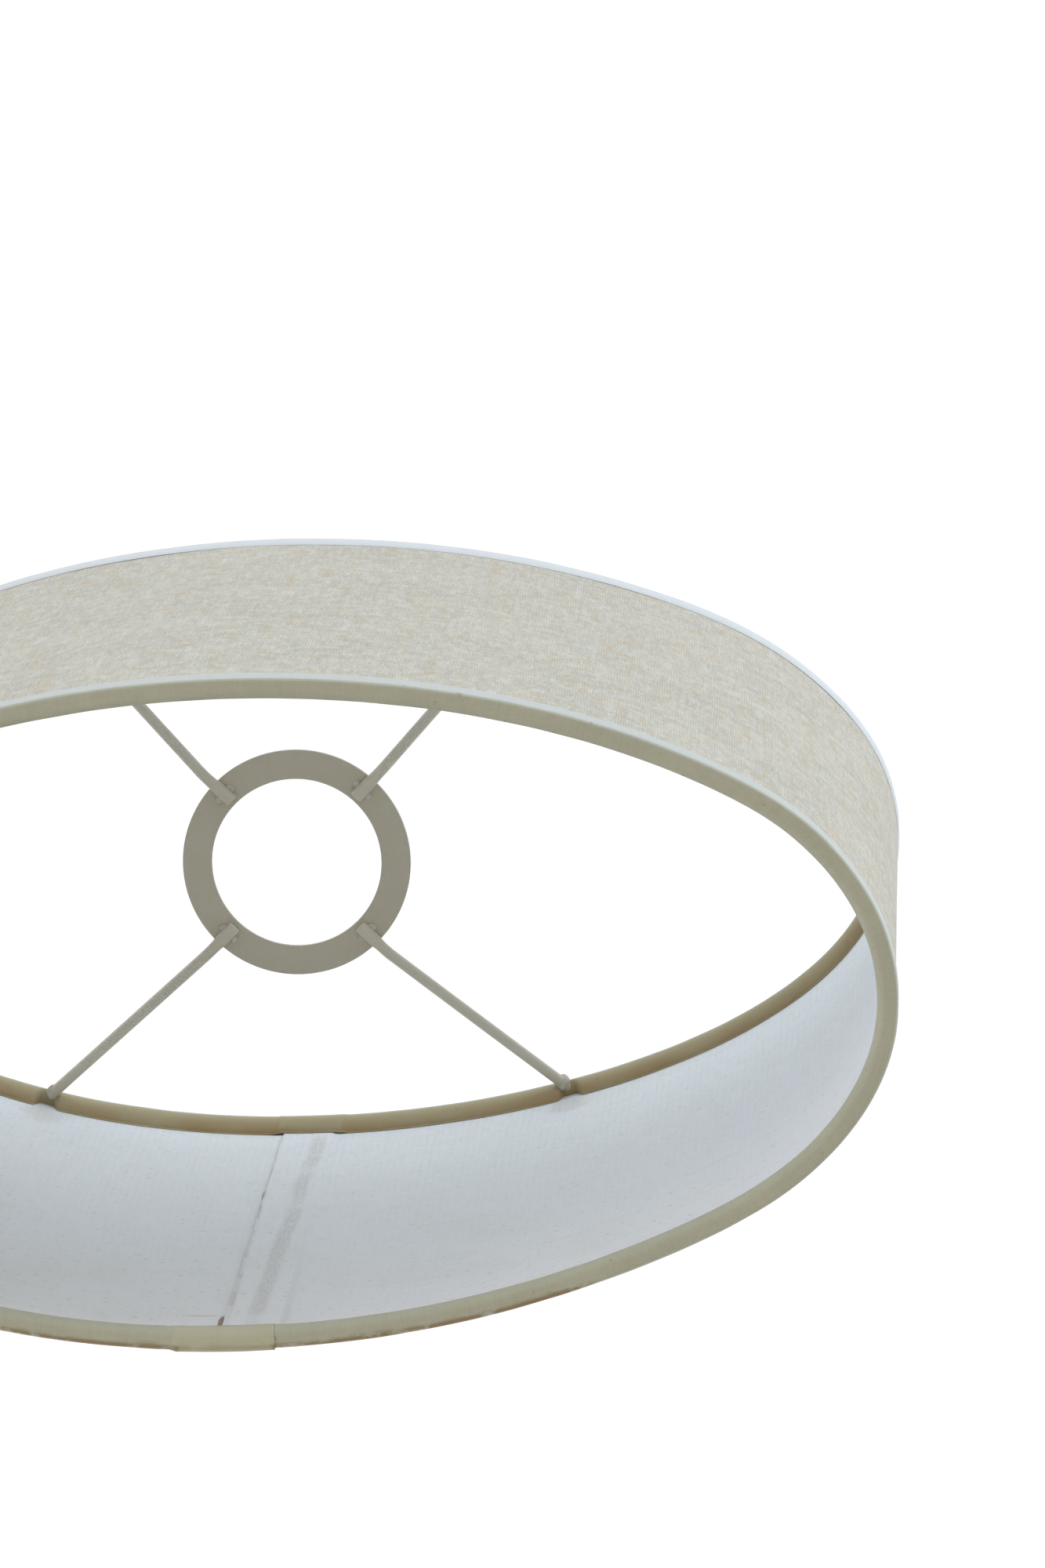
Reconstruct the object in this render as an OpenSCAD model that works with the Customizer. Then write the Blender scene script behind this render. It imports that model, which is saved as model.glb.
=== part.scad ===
// Oval drum lamp shade with a drop-in fitter ring.
// A straight oval wall of lined fabric is glued round two wire rims, tape covers both edges,
// and four spokes carry the fitter ring a little below the top edge.
// The frame stands on z = 0 with the long axis along X. The back, where the seam is, faces +Y.

/* [Oval wall] */
// Overall length along X, over the edge tape
shade_length = 300; // [240:5:380]
// Overall width along Y, over the edge tape
shade_width = 150; // [120:5:220]
// Overall height, over the edge tape
shade_height = 220; // [150:5:320]
// Thickness of the outer cover fabric
cover_t = 0.5; // [0.3:0.1:0.9]
// Thickness of the lining sheet
lining_t = 0.4; // [0.2:0.1:0.8]

/* [Seam at the back] */
// X place of the inner lap's free edge
seam_x = -8; // [-40:1:40]
// Width of the lining's overlapping end
lining_lap_w = 12; // [8:1:20]
// Width of the cover's folded and glued end
cover_lap_w = 10; // [6:1:16]
// Thickness of the dried adhesive film in the seam
adhesive_t = 0.15; // [0.1:0.05:0.3]
// How far the adhesive stops short of each side of the lap
adhesive_margin = 2; // [1:0.5:3]

/* [Edge tape] */
// Thickness of the folded tape
tape_t = 0.5; // [0.3:0.1:1]
// Height of the tape on the outside
tape_outside_h = 9; // [6:0.5:15]
// Height of the tape on the inside
tape_inside_h = 8; // [6:0.5:18]
// Thickness of the tape's overlapping end
join_t = 0.4; // [0.2:0.1:0.8]
// Left and right X limits of the bottom tape's overlap
bottom_join_x = [-18, 4];
// Left and right X limits of the top tape's overlap
top_join_x = [-9, 7];

/* [Wire frame] */
// Diameter of the rim wires
rim_wire_d = 3; // [2:0.1:4]
// Diameter of the spoke wires
spoke_d = 2.8; // [2:0.1:3.6]
// Plan angle of the spokes from the long axis
spoke_angle = 45; // [35:1:55]
// Bend radius of a spoke, at the middle of the wire
spoke_bend_r = 6; // [4:0.5:10]
// How deep a spoke's end is pressed flat against the fitter ring
spoke_flat = 0.4; // [0.2:0.1:0.8]
// Gap from the fitter bore to a spoke's tip
spoke_tip_gap = 1.2; // [0.5:0.1:3]
// Gap from the fitter ring's outer edge to the corner of a spoke's bend
spoke_bend_gap = 3.5; // [3:0.5:8]
// Length of the butt weld that closes a rim wire
butt_weld_len = 3; // [2:0.5:5]
// X place of the butt welds, at the back
butt_weld_x = 32; // [15:1:50]
// How far a weld bead stands out from a spoke
bead_out = 0.7; // [0.4:0.1:1.2]
// Free space round a spoke where it passes through the tape
notch_gap = 1.2; // [1:0.1:2]

/* [Fitter ring] */
// Bore that drops over the lamp holder
fitter_bore_d = 42; // [28:0.5:44]
// Width of the ring's flat band
fitter_band_w = 7.25; // [6:0.25:10]
// Thickness of the ring
fitter_t = 1.6; // [1:0.1:2.5]
// Drop of the ring's top face below the shade's top edge
fitter_drop = 33; // [20:1:60]

/* [Hidden] */

wall_t = cover_t + lining_t;
wire_r = rim_wire_d / 2;
spoke_r = spoke_d / 2;
// Middle of the rim wire, as a step inwards from the cover's face and a height above the edge
wire_in = wall_t + wire_r;
wire_up = tape_t + wire_r;
// Radius of the tape's own face where it goes round the rim wire
tape_r = wire_r + tape_t;

// The cover's outer face is an ellipse. Everything round it is built on the same turns, the
// ellipse's angle parameter in degrees, so that neighbours meet face to face.
half_length = shade_length / 2 - tape_t;
half_width = shade_width / 2 - tape_t;
oval_steps = 80;
weld_from = acos((butt_weld_x + butt_weld_len / 2) / half_length);
weld_to = acos((butt_weld_x - butt_weld_len / 2) / half_length);
even_turns = [for (i = [0 : oval_steps - 1]) i * 360 / oval_steps];
turns_before_weld = [for (t = even_turns) if (t < weld_from) t];
turns_after_weld = [for (t = even_turns) if (t > weld_to) t];
turns = concat(turns_before_weld, [weld_from, weld_to], turns_after_weld);
turns_past_weld = concat([weld_to], turns_after_weld, turns_before_weld, [weld_from]);

// Point of the oval at a turn, moved outwards along the ellipse's own normal.
function oval_point(turn, out) =
    let (normal = [half_width * cos(turn), half_length * sin(turn)])
    [half_length * cos(turn), half_width * sin(turn)] + out * normal / norm(normal);

function oval_outline(out) = [for (t = turns) oval_point(t, out)];

function arc_points(centre, r, from, to, steps) = [
    for (i = [0 : steps])
        let (a = from + (to - from) * i / steps)
        centre + r * [cos(a), sin(a)]
];

// Triangles of a skin over rings of m points each, closed into a loop or capped at both ends.
function skin_faces(rings, m, closed) = concat(
    [
        for (i = [0 : rings - (closed ? 1 : 2)], j = [0 : m - 1])
            let (a = i * m, b = ((i + 1) % rings) * m, k = (j + 1) % m)
            each [[a + j, a + k, b + k], [a + j, b + k, b + j]]
    ],
    closed ? [] : [[for (j = [m - 1 : -1 : 0]) j], [for (j = [0 : m - 1]) (rings - 1) * m + j]]
);

// Sections at the bottom edge, with x outwards from the cover's face and y up.
wire_centre = [-wire_in, wire_up];
wire_sides = 12;
wire_section = arc_points(wire_centre, wire_r, 0, 360 - 360 / wire_sides, wire_sides - 1);

// The tape goes down the outside, under the wall and the wire, round the wire and up the lining.
// It leaves the wire at one of the wire section's corners and its flap starts where the two meet.
leave_angle = 60;
leave_point = wire_centre + wire_r * [cos(leave_angle), sin(leave_angle)];
flap_angle = acos((wire_r - tape_t) / tape_r);
round_steps = 7;
round_step = (270 - flap_angle) / round_steps;
tape_section = concat(
    [[tape_t, 0], [tape_t, tape_outside_h], [0, tape_outside_h], [0, tape_t]],
    arc_points(wire_centre, wire_r, 270, leave_angle, (270 - leave_angle) * wire_sides / 360),
    [[-wall_t, leave_point[1]], [-wall_t, tape_inside_h], [-wall_t - tape_t, tape_inside_h]],
    arc_points(wire_centre, tape_r, flap_angle, 270, round_steps)
);

// The tape's overlapping end lies on the inside only, and stops above the edge.
join_steps = round_steps - 2;
join_stop = flap_angle + join_steps * round_step;
join_angle = acos((wire_r - tape_t - join_t) / (tape_r + join_t));
join_section = concat(
    [[-wall_t - tape_t, tape_inside_h], [-wall_t - tape_t - join_t, tape_inside_h]],
    arc_points(wire_centre, tape_r + join_t, join_angle, join_stop, join_steps),
    arc_points(wire_centre, tape_r, join_stop, flap_angle, join_steps)
);

fitter_r = fitter_bore_d / 2 + fitter_band_w;
fitter_z = shade_height - fitter_drop - fitter_t;

// Turn at which the rim wire's middle is seen at a plan angle, found by halving the quarter.
function turn_at(angle, low = 0, high = 90, tries = 24) =
    let (middle = (low + high) / 2)
    let (p = oval_point(middle, -wire_in))
    tries == 0 ? middle
    : atan2(p[1], p[0]) < angle ? turn_at(angle, middle, high, tries - 1)
    : turn_at(angle, low, middle, tries - 1);

// A spoke lies in an upright plane. It runs level under the fitter ring, bends, and rises to the rim.
spoke_z = fitter_z - spoke_r + spoke_flat;
spoke_start = fitter_bore_d / 2 + spoke_tip_gap;
spoke_corner = fitter_r + spoke_bend_gap;
spoke_turn = turn_at(spoke_angle);
rim_reach = norm(oval_point(spoke_turn, -wire_in));
rim_z = shade_height - wire_up;
spoke_rise = atan2(rim_z - spoke_z, rim_reach - spoke_corner);
bend_run = spoke_bend_r * tan(spoke_rise / 2);
bend_steps = 5;
spoke_sides = 12;

// Stations of a spoke's middle line in its plane, each [reach, height, slope].
spoke_line = concat(
    [[spoke_start, spoke_z, 0]],
    [
        for (i = [0 : bend_steps])
            let (slope = spoke_rise * i / bend_steps)
            [
                spoke_corner - bend_run + spoke_bend_r * sin(slope),
                spoke_z + spoke_bend_r * (1 - cos(slope)),
                slope
            ]
    ],
    [[rim_reach, rim_z, spoke_rise]]
);

linen = [0.79, 0.78, 0.73];
lining_white = [0.86, 0.88, 0.90];
tape_cloth = [0.70, 0.68, 0.58];
wire_paint = [0.72, 0.70, 0.64];
weld_brown = [0.45, 0.37, 0.30];
glue_brown = [0.62, 0.57, 0.50];

// Carries a section round the oval over a list of turns.
module along_oval(section, over, closed) {
    polyhedron(
        points = [for (t = over, p = section) concat(oval_point(t, p[0]), p[1])],
        faces = skin_faces(len(over), len(section), closed)
    );
}

// Flips what stands at the bottom edge to the top edge.
module at_top() {
    translate([0, 0, shade_height])
        mirror([0, 0, 1])
            children();
}

// Flat ring between two steps inwards from the cover's face. A negative step lies outside it.
module oval_band(outer_in, thickness) {
    difference() {
        polygon(oval_outline(-outer_in));
        polygon(oval_outline(-outer_in - thickness));
    }
}

// One upright layer of the wall, between the two edges.
module wall_layer(outer_in, thickness) {
    translate([0, 0, tape_t])
        linear_extrude(shade_height - 2 * tape_t)
            oval_band(outer_in, thickness);
}

// Upright strip of a layer at the back, from one X to another, clear of both edges by the margin.
module back_strip(outer_in, thickness, x_left, x_right, margin) {
    translate([0, 0, margin])
        linear_extrude(shade_height - 2 * margin)
            intersection() {
                oval_band(outer_in, thickness);
                translate([x_left, 0])
                    square([x_right - x_left, shade_width]);
            }
}

module rim_wire() {
    along_oval(wire_section, turns_past_weld, false);
}

module butt_weld() {
    along_oval(wire_section, [weld_from, weld_to], false);
}

module tape() {
    along_oval(tape_section, turns, true);
}

module tape_join(limits) {
    intersection() {
        along_oval(join_section, turns, true);
        translate([limits[0], 0, 0])
            cube([limits[1] - limits[0], shade_width, tape_inside_h]);
    }
}

// The stretch of the top wire next to the spoke at the back right, for what is shaped to it.
module rim_near_spoke() {
    at_top()
        along_oval(wire_section, [for (t = turns) if (abs(t - spoke_turn) < 12) t], false);
}

// Solid disc that stands on the fitter ring's underside.
module fitter_disc(height) {
    translate([0, 0, fitter_z])
        cylinder(r = fitter_r, h = height, $fn = 180);
}

// Moves a piece made at the back right to one of the four corners: side_x and side_y are 1 or -1.
module at_corner(side_x, side_y) {
    mirror([side_x < 0 ? 1 : 0, 0, 0])
        mirror([0, side_y < 0 ? 1 : 0, 0])
            children();
}

module at_each_corner() {
    for (side_x = [1, -1], side_y = [1, -1])
        at_corner(side_x, side_y) children();
}

// Puts a piece on the back right spoke's slope, with +Z down the slope from the rim wire's middle.
module on_slope() {
    rotate([0, 0, spoke_angle])
        translate([rim_reach, 0, rim_z])
            rotate([0, -90 - spoke_rise, 0])
                children();
}

// The bent wire of the back right spoke, before its ends are shaped.
module bent_wire() {
    rotate([0, 0, spoke_angle])
        polyhedron(
            points = [
                for (s = spoke_line, j = [0 : spoke_sides - 1])
                    let (a = j * 360 / spoke_sides)
                    [
                        s[0] - spoke_r * sin(a) * sin(s[2]),
                        -spoke_r * cos(a),
                        s[1] + spoke_r * sin(a) * cos(s[2])
                    ]
            ],
            faces = skin_faces(len(spoke_line), spoke_sides, false)
        );
}

// A spoke, flat against the fitter ring at one end and hollowed to the rim wire at the other.
module spoke(side_x, side_y) {
    color(wire_paint)
        at_corner(side_x, side_y)
            difference() {
                bent_wire();
                fitter_disc(fitter_t);
                rim_near_spoke();
            }
}

module cover() {
    color(linen) wall_layer(0, cover_t);
}

// The cover's end, folded over and glued on the outside between the tapes.
module cover_seam_lap() {
    color(linen) back_strip(-cover_t, cover_t, seam_x - cover_lap_w, seam_x, tape_outside_h);
}

module lining() {
    color(lining_white) wall_layer(cover_t, lining_t);
}

// The lining's overlapping end, on its adhesive film between the tapes.
module lining_seam_lap() {
    color(lining_white)
        back_strip(wall_t + adhesive_t, lining_t, seam_x, seam_x + lining_lap_w, tape_inside_h);
}

module seam_adhesive() {
    left = seam_x + adhesive_margin;
    right = seam_x + lining_lap_w - adhesive_margin;
    color(glue_brown) back_strip(wall_t, adhesive_t, left, right, tape_inside_h);
}

module top_wire_rim() {
    color(wire_paint) at_top() rim_wire();
}

module bottom_wire_rim() {
    color(wire_paint) rim_wire();
}

module rim_butt_welds() {
    color(weld_brown) {
        butt_weld();
        at_top() butt_weld();
    }
}

module fitter_ring() {
    color(wire_paint)
        difference() {
            fitter_disc(fitter_t);
            translate([0, 0, fitter_z - 1])
                cylinder(d = fitter_bore_d, h = fitter_t + 2, $fn = 180);
        }
}

module spoke_back_right() {
    spoke(1, 1);
}

module spoke_back_left() {
    spoke(-1, 1);
}

module spoke_front_left() {
    spoke(-1, -1);
}

module spoke_front_right() {
    spoke(1, -1);
}

// Small fillets of weld on both sides of each spoke, under the fitter ring.
module spoke_ring_welds() {
    color(weld_brown)
        at_each_corner()
            difference() {
                rotate([0, 0, spoke_angle])
                    translate([fitter_bore_d / 2 + fitter_band_w / 2, 0, fitter_z])
                        sphere(r = spoke_r + bead_out, $fn = 40);
                fitter_disc(spoke_d + bead_out);
                bent_wire();
            }
}

// Collar of weld round each spoke's upper end, against the rim wire.
module spoke_rim_welds() {
    color(weld_brown)
        at_each_corner()
            difference() {
                on_slope()
                    translate([0, 0, wire_r])
                        sphere(r = spoke_r + bead_out, $fn = 40);
                bent_wire();
                rim_near_spoke();
            }
}

// The top tape is slit round each spoke.
module top_tape() {
    color(tape_cloth)
        difference() {
            at_top() tape();
            at_each_corner()
                on_slope()
                    cylinder(r = spoke_r + notch_gap, h = tape_inside_h, $fn = 32);
        }
}

module bottom_tape() {
    color(tape_cloth) tape();
}

module top_tape_join() {
    color(tape_cloth) at_top() tape_join(top_join_x);
}

module bottom_tape_join() {
    color(tape_cloth) tape_join(bottom_join_x);
}

cover();
cover_seam_lap();
lining();
lining_seam_lap();
seam_adhesive();
top_wire_rim();
bottom_wire_rim();
rim_butt_welds();
fitter_ring();
spoke_back_right();
spoke_back_left();
spoke_front_left();
spoke_front_right();
spoke_ring_welds();
spoke_rim_welds();
top_tape();
bottom_tape();
top_tape_join();
bottom_tape_join();
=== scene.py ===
"""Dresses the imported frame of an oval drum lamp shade.

The shade stands on z = 0 with its long axis along X. Its seam is at the back, on +Y, and the
fitter ring hangs under the top edge. Cloth strips and rim wires are sections carried round one
oval, so neighbours keep to each other wherever the oval sways.
"""

import logging
import math
from dataclasses import dataclass, replace
from enum import Enum
from typing import Any, Iterable, Mapping, Sequence

import bpy
import numpy as np
from mathutils import Matrix, Vector


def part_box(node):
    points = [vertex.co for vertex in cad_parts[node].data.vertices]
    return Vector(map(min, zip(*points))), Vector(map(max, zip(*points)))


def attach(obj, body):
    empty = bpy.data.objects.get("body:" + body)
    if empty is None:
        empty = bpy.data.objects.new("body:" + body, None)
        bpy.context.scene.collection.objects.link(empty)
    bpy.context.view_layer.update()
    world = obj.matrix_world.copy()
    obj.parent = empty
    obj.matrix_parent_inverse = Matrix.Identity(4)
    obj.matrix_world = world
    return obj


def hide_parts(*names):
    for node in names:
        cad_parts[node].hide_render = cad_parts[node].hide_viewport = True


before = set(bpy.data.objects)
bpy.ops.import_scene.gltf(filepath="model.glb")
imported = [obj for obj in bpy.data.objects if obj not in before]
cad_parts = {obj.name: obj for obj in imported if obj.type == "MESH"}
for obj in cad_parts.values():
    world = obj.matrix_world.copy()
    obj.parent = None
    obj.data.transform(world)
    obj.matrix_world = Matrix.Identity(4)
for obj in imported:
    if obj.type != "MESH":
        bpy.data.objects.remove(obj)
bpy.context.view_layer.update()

BODY = "root"
MM = 0.001
ROUND = 2.0 * math.pi
CUT_MAP = "cut"
LOG = logging.getLogger("lamp_shade")

Array = np.ndarray
Colour = tuple[float, float, float]


class Way(Enum):
    """Which way a strip runs round the oval, seen from above."""

    ANTICLOCKWISE = 1
    CLOCKWISE = -1


class Edge(Enum):
    """Which edge of the shade a piece belongs to."""

    BOTTOM = "bottom"
    TOP = "top"


# ---------------------------------------------------------------- numbers and curves


def smooth(share: Array) -> Array:
    """Eases 0 to 1: three times the square less twice the cube, held at both ends."""
    held = np.clip(share, 0.0, 1.0)
    return held * held * (3.0 - 2.0 * held)


def drift(along: Array, longest: float, size: float, seed: int, waves: int = 9) -> Array:
    """A wandering line: a sum of cosines, each shorter and flatter than the one before.

    Wave k has the longest wavelength over k to the power 0.8, a seeded phase and a height of
    one over the square root of k.

    Args:
        along: Places along the line, in metres.
        longest: Wavelength of the slowest wave.
        size: Typical distance from the middle.
        seed: Seed of the phases.
        waves: Number of cosines.

    Returns:
        The line's offset at each place.
    """
    rng = np.random.default_rng(seed)
    order = np.arange(1, waves + 1)
    phase = rng.uniform(0.0, ROUND, waves)
    turns = along[..., None] / longest * order**0.8 * ROUND + phase
    return size * (np.cos(turns) / np.sqrt(order)).sum(-1) / math.sqrt(waves / 2.0)


def window(value: Array, low: float, high: float, soft: float, soft_high: float) -> Array:
    """1 between two places and 0 outside them: one easing up after low, one down before high."""
    return smooth((value - low) / soft) * smooth((high - value) / soft_high)


def spread(*parts: Any) -> Array:
    """Arrays stretched to one shape and laid side by side on a new last axis."""
    return np.stack(np.broadcast_arrays(*parts), axis=-1)


def circle(angle: Array) -> Array:
    """Cosine and sine of each angle, side by side."""
    return np.stack([np.cos(angle), np.sin(angle)], axis=-1)


def closed(cut: Array) -> Array:
    """Places on the cut with the first column once more at the end, to close the section."""
    return np.concatenate([cut, cut[:, :1]], axis=1)


def turned_from(turn: Array, middle: float) -> Array:
    """Signed turn from a middle, between minus and plus half a round."""
    return (turn - middle + math.pi) % ROUND - math.pi


def arc(centre: Sequence[float], radius: float, start: float, end: float, count: int) -> Array:
    """Points of an arc between two angles in degrees: centre plus radius times cosine and sine."""
    return np.array(centre) + radius * circle(np.radians(np.linspace(start, end, count)))


def run_length(line: Array) -> Array:
    """Distance along a line of points, from its first point to each one."""
    steps = np.linalg.norm(np.diff(line, axis=0), axis=1)
    return np.concatenate([[0.0], np.cumsum(steps)])


@dataclass(frozen=True)
class Oval:
    """The plan shape of the wall: an ellipse that sways a little, differently at each edge.

    The sway is a sum of cosines and sines of one to four times the turn, in metres along the
    ellipse's normal, and changes evenly from the bottom edge to the top edge.
    """

    half_length: float
    half_width: float
    height: float
    sway_bottom: tuple[float, ...]
    sway_top: tuple[float, ...]
    dents: tuple[tuple[float, float, float, float], ...] = ()

    @staticmethod
    def sway(turn: Array, amounts: Sequence[float]) -> Array:
        """Sum over the waves: a height times the cosine and one times the sine of its turns."""
        pairs = circle(turn[..., None] * np.arange(1, len(amounts) // 2 + 1))
        return pairs.reshape(*turn.shape, -1) @ np.array(amounts)

    def dent(self, turn: Array, share: Array) -> Array:
        """Sum of bell curves over the turn, each with its own depth at either edge.

        Args:
            turn: Ellipse parameter in radians.
            share: Height from 0 at the bottom edge to 1 at the top edge.

        Returns:
            Distance outwards.
        """
        total = np.zeros(np.broadcast(turn, share).shape)
        for middle, width, low, high in self.dents:
            bell = np.exp(-((turned_from(turn, middle) / width) ** 2))
            total = total + (low + (high - low) * share) * bell
        return total

    def place(self, turn: Any, out: Any, up: Any) -> Array:
        """Points beside the oval: its own point, plus its unit normal times out and sway.

        Args:
            turn: Ellipse parameter in radians.
            out: Distance outwards from the cover's face.
            up: Height.

        Returns:
            The points, with X, Y and Z on the last axis.
        """
        turn, out, up = np.broadcast_arrays(turn, out, up)
        normal = circle(turn) * (self.half_width, self.half_length)
        normal /= np.linalg.norm(normal, axis=-1, keepdims=True)
        share = up / self.height
        sway = self.sway(turn, self.sway_bottom) * (1.0 - share)
        sway = sway + self.sway(turn, self.sway_top) * share + self.dent(turn, share)
        flat = circle(turn) * (self.half_length, self.half_width)
        flat = flat + (out + sway)[..., None] * normal
        return np.concatenate([flat, up[..., None]], axis=-1)

    def girth_table(self) -> tuple[Array, Array]:
        """Turns of one round and the distance run from turn 0 to each."""
        turn = np.linspace(0.0, ROUND, 3601)
        return turn, run_length(circle(turn) * (self.half_length, self.half_width))

    @property
    def girth(self) -> float:
        """Distance once round the cover's face."""
        return float(self.girth_table()[1][-1])

    def run_at_x(self, x: float) -> float:
        """Distance run to the point of the back wall at an X place."""
        turn, run = self.girth_table()
        return float(np.interp(math.acos(x / self.half_length), turn, run))

    def run_at_turn(self, turn: float) -> float:
        """Distance run from turn 0 to a turn."""
        return float(np.interp(turn % ROUND, *self.girth_table()))

    def turn_at(self, run: Array) -> Array:
        """Turns at distances run round the oval, which may pass the start more than once."""
        turn, table = self.girth_table()
        rounds = np.floor(run / table[-1])
        return np.interp(run - rounds * table[-1], table, turn) + rounds * ROUND


@dataclass(frozen=True)
class Course:
    """Stations of a strip: distance along it, turn of the oval, and how far it is lifted."""

    along: Array
    turn: Array
    raised: Array
    length: float

    def ends(self, reach: float) -> Array:
        """Thickness share that rounds both ends off like a quarter circle over the reach."""
        near = np.clip(np.minimum(self.along, self.length - self.along) / reach, 0.0, 1.0)
        return 0.2 + 0.8 * np.sqrt(1.0 - (1.0 - near) ** 2)


@dataclass(frozen=True)
class Lap:
    """How a strip's two ends overlap at the back: it starts under and ends on top of itself."""

    under_x: float
    over_x: float
    way: Way
    lift: float
    ramp: float = 2.0 * MM

    def course(self, oval: Oval, step: float, busy: Iterable[float] = ()) -> Course:
        """Stations once round and over the start, closer together where the strip is lifted.

        Args:
            oval: The oval it runs round.
            step: Usual distance between stations.
            busy: Turns of the oval that need close stations too.

        Returns:
            The stations.
        """
        girth, start = oval.girth, oval.run_at_x(self.under_x)
        length = girth + abs(oval.run_at_x(self.over_x) - start)
        spots = [(oval.run_at_turn(t) - start) * self.way.value % girth for t in busy]
        close = np.array([0.0, 0.05, 0.12, 0.22, 0.4, 0.7, 1.2]) * MM
        along = np.concatenate(
            [np.linspace(0.0, length, round(length / step) + 1), close, length - close]
            + [np.linspace(girth - 2.5 * self.ramp, girth + self.ramp, 19)]
            + [spot + np.linspace(-7.0, 7.0, 41) * MM for spot in spots]
        )
        along = np.unique(np.clip(along, 0.0, length).round(6))
        raised = self.lift * smooth((along - girth + self.ramp) / self.ramp)
        return Course(along, oval.turn_at(start + self.way.value * along), raised, length)


# ---------------------------------------------------------------- meshes


@dataclass
class Skin:
    """A closed skin over rings of points, each ring a closed section of the same points.

    The skin has n rings of m points. Face i, j joins points j and j + 1 of rings i and i + 1.
    An open skin is capped at both ends; a looped one joins its last ring to its first.
    """

    rings: Array
    cut: Array
    looped: bool = False
    marks: Mapping[str, Array] | None = None

    def faces(self) -> tuple[list[list[int]], Array]:
        """Faces of the skin and the place on the cut of each face corner."""
        n, m = self.rings.shape[:2]
        i, j = np.meshgrid(np.arange(n if self.looped else n - 1), np.arange(m), indexing="ij")
        corner_i = np.stack([i, i, i + 1, i + 1], axis=-1).reshape(-1, 4)
        corner_j = np.stack([j, j + 1, j + 1, j], axis=-1).reshape(-1, 4)
        quads = (corner_i % n) * m + corner_j % m
        cut = self.cut[corner_i, corner_j].reshape(-1, 2)
        faces = quads.tolist()
        if not self.looped:
            first = np.arange(m)
            faces += [first[::-1].tolist(), ((n - 1) * m + first).tolist()]
            cut = np.concatenate([cut, self.cut[0, first[::-1]], self.cut[n - 1, first]])
        return faces, cut

    def volume(self) -> float:
        """Six times the signed volume: the triple products of all triangles, caps and all."""
        rings = self.rings - self.rings.reshape(-1, 3).mean(0)
        a = rings if self.looped else rings[:-1]
        d = np.roll(rings, -1, axis=0)[: len(a)]
        b, c = np.roll(a, -1, axis=1), np.roll(d, -1, axis=1)
        total = (a * (np.cross(b, c) + np.cross(c, d))).sum()
        if not self.looped:
            first, last = (ring[0] * np.cross(ring[1:-1], ring[2:]) for ring in rings[[0, -1]])
            total += last.sum() - first.sum()
        return float(total)


def lay_mesh(name: str, skins: Sequence[Skin], crease: float = 40.0) -> bpy.types.Object:
    """Makes one piece of one or more skins, with its cut map and marks.

    Args:
        name: The piece's name.
        skins: Its closed skins.
        crease: Angle in degrees past which an edge stays sharp.

    Returns:
        The piece, at the origin.
    """
    points, faces, cuts, marks = [], [], [], {}
    for skin in skins:
        base = sum(len(p) for p in points)
        own, cut = skin.faces()
        if skin.volume() < 0.0:
            sizes = np.array([len(f) for f in own])
            ends = np.cumsum(sizes)
            order = np.arange(len(cut))
            order = np.repeat(ends + ends - sizes - 1, sizes) - order
            cut, own = cut[order], [f[::-1] for f in own]
        points.append(skin.rings.reshape(-1, 3))
        faces += [[base + k for k in f] for f in own]
        cuts.append(cut)
        for key, value in (skin.marks or {}).items():
            marks.setdefault(key, []).append(np.broadcast_to(value, skin.rings.shape[:2]).ravel())
    mesh = bpy.data.meshes.new(name)
    mesh.from_pydata(np.concatenate(points).tolist(), [], faces)
    layer = mesh.uv_layers.new(name=CUT_MAP)
    layer.data.foreach_set("uv", np.concatenate(cuts).astype(np.float32).ravel())
    for key, values in marks.items():
        attribute = mesh.attributes.new(key, "FLOAT", "POINT")
        attribute.data.foreach_set("value", np.concatenate(values).astype(np.float32))
    mesh.shade_smooth()
    mesh.set_sharp_from_angle(angle=math.radians(crease))
    mesh.update()
    piece = bpy.data.objects.new(name, mesh)
    bpy.context.scene.collection.objects.link(piece)
    return piece


def settle(
    piece: bpy.types.Object, finish: bpy.types.Material, nodes: Sequence[str]
) -> None:
    """Gives a piece its finish, its body and the CAD nodes that it stands for.

    Args:
        piece: The finished piece.
        finish: Its material.
        nodes: CAD nodes that it replaces.
    """
    piece.data.materials.append(finish)
    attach(piece, BODY)
    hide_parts(*nodes)
    LOG.info("%s: %d faces, stands for %s", piece.name, len(piece.data.polygons), ", ".join(nodes))


# ---------------------------------------------------------------- material building


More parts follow.
